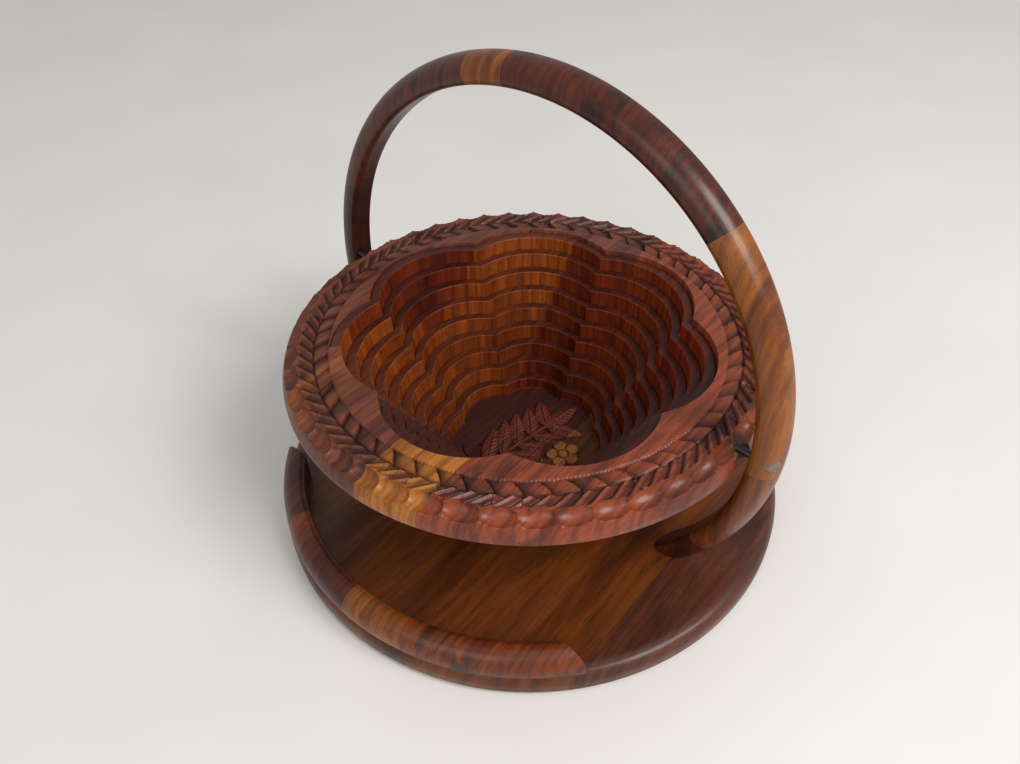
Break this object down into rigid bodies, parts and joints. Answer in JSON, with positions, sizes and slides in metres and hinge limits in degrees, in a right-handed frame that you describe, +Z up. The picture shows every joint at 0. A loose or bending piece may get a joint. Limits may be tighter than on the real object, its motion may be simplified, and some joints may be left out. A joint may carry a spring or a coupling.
{
  "type": "collapsible wooden basket",
  "caption": "Folding basket of glued, carved hardwood: scalloped rim disc, spiral-sawn lobed bowl wall, hoop handle on pins and round base with a crescent rim.",
  "frame": {"origin": "middle of the base's underside", "axes": "+X along the handle's pivot pins, +Y towards the side that the handle folds down to, +Z up"},
  "size_m": [0.3, 0.3, 0.2579],
  "materials": {
    "board_main": "satin",
    "board_edge": "satin",
    "crescent": "satin lacquer",
    "hoop": "satin lacquer",
    "hoop_gold": "satin lacquer",
    "rim": "carved, satin",
    "rim_gold": "carved, satin",
    "spiral": "sawn",
    "floor": "carved",
    "floor_gold": "carved",
    "dowel": "plain",
    "pin": "drawn steel",
    "plug": "filled"
  },
  "bodies": {
    "base": {"base_board_main": "board_main", "base_board_edge": "board_edge", "crescent_stave_1": "crescent", "crescent_stave_2": "crescent", "crescent_stave_3": "crescent", "crescent_stave_4": "crescent", "crescent_stave_5": "crescent", "bowl_floor_left": "floor", "bowl_floor_right": "floor_gold"},
    "fold_link": {"seam_dowel": "dowel"},
    "handle": {"hoop_foot_right": "hoop", "hoop_lower_right": "hoop", "hoop_side_right": "hoop_gold", "hoop_crown_right": "hoop", "hoop_block": "hoop_gold", "hoop_crown_left": "hoop", "hoop_side_left": "hoop", "pin_left": "pin", "pin_right": "pin", "plug_left": "plug", "plug_right": "plug"},
    "rim_disc": {"rim_left": "rim", "rim_front_1": "rim_gold", "rim_back_1": "rim", "rim_front_2": "rim", "rim_back_2": "rim", "rim_front_3": "rim_gold", "rim_back_3": "rim", "rim_right": "rim"},
    "spiral_turn_1": {"turn_1": "spiral"},
    "spiral_turn_2": {"turn_2": "spiral"},
    "spiral_turn_3": {"turn_3": "spiral"},
    "spiral_turn_4": {"turn_4": "spiral"},
    "spiral_turn_5": {"turn_5": "spiral"},
    "spiral_turn_6": {"turn_6": "spiral"},
    "spiral_turn_7": {"turn_7": "spiral"},
    "spiral_turn_8": {"turn_8": "spiral"},
    "spiral_turn_9": {"turn_9": "spiral"}
  },
  "joints": [
    {"name": "fold", "type": "hinge", "parent": "base", "child": "fold_link", "pos_m": [0, 0, 0.0253], "axis": [1, 0, 0], "range_deg": [0, 86.2]},
    {"name": "handle_swing", "type": "hinge", "parent": "fold_link", "child": "handle", "pos_m": [0, -0.00278, 0.06721], "axis": [1, 0, 0], "range_deg": [-172.4, 0]},
    {"name": "rim_disc_pivot", "type": "hinge", "parent": "handle", "child": "rim_disc", "pos_m": [0, 0, 0.10912], "axis": [1, 0, 0], "range_deg": [0, 87.7]},
    {"name": "turn_1_drop", "type": "slide", "parent": "base", "child": "spiral_turn_1", "axis": [0, 0, 1], "range_m": [-0.08382, 0]},
    {"name": "turn_2_drop", "type": "slide", "parent": "base", "child": "spiral_turn_2", "axis": [0, 0, 1], "range_m": [-0.0745, 0]},
    {"name": "turn_3_drop", "type": "slide", "parent": "base", "child": "spiral_turn_3", "axis": [0, 0, 1], "range_m": [-0.06519, 0]},
    {"name": "turn_4_drop", "type": "slide", "parent": "base", "child": "spiral_turn_4", "axis": [0, 0, 1], "range_m": [-0.05588, 0]},
    {"name": "turn_5_drop", "type": "slide", "parent": "base", "child": "spiral_turn_5", "axis": [0, 0, 1], "range_m": [-0.04656, 0]},
    {"name": "turn_6_drop", "type": "slide", "parent": "base", "child": "spiral_turn_6", "axis": [0, 0, 1], "range_m": [-0.03725, 0]},
    {"name": "turn_7_drop", "type": "slide", "parent": "base", "child": "spiral_turn_7", "axis": [0, 0, 1], "range_m": [-0.02794, 0]},
    {"name": "turn_8_drop", "type": "slide", "parent": "base", "child": "spiral_turn_8", "axis": [0, 0, 1], "range_m": [-0.01863, 0]},
    {"name": "turn_9_drop", "type": "slide", "parent": "base", "child": "spiral_turn_9", "axis": [0, 0, 1], "range_m": [-0.00931, 0]}
  ],
  "couplings": [
    {"joint": "handle_swing", "follows": "fold", "ratio": -2},
    {"joint": "rim_disc_pivot", "follows": "fold", "ratio": 1.0174},
    {"joint": "turn_1_drop", "follows": "fold", "m_per_rad": -0.055711},
    {"joint": "turn_2_drop", "follows": "fold", "m_per_rad": -0.049521},
    {"joint": "turn_3_drop", "follows": "fold", "m_per_rad": -0.043331},
    {"joint": "turn_4_drop", "follows": "fold", "m_per_rad": -0.03714},
    {"joint": "turn_5_drop", "follows": "fold", "m_per_rad": -0.03095},
    {"joint": "turn_6_drop", "follows": "fold", "m_per_rad": -0.02476},
    {"joint": "turn_7_drop", "follows": "fold", "m_per_rad": -0.01857},
    {"joint": "turn_8_drop", "follows": "fold", "m_per_rad": -0.01238},
    {"joint": "turn_9_drop", "follows": "fold", "m_per_rad": -0.0061901}
  ]
}
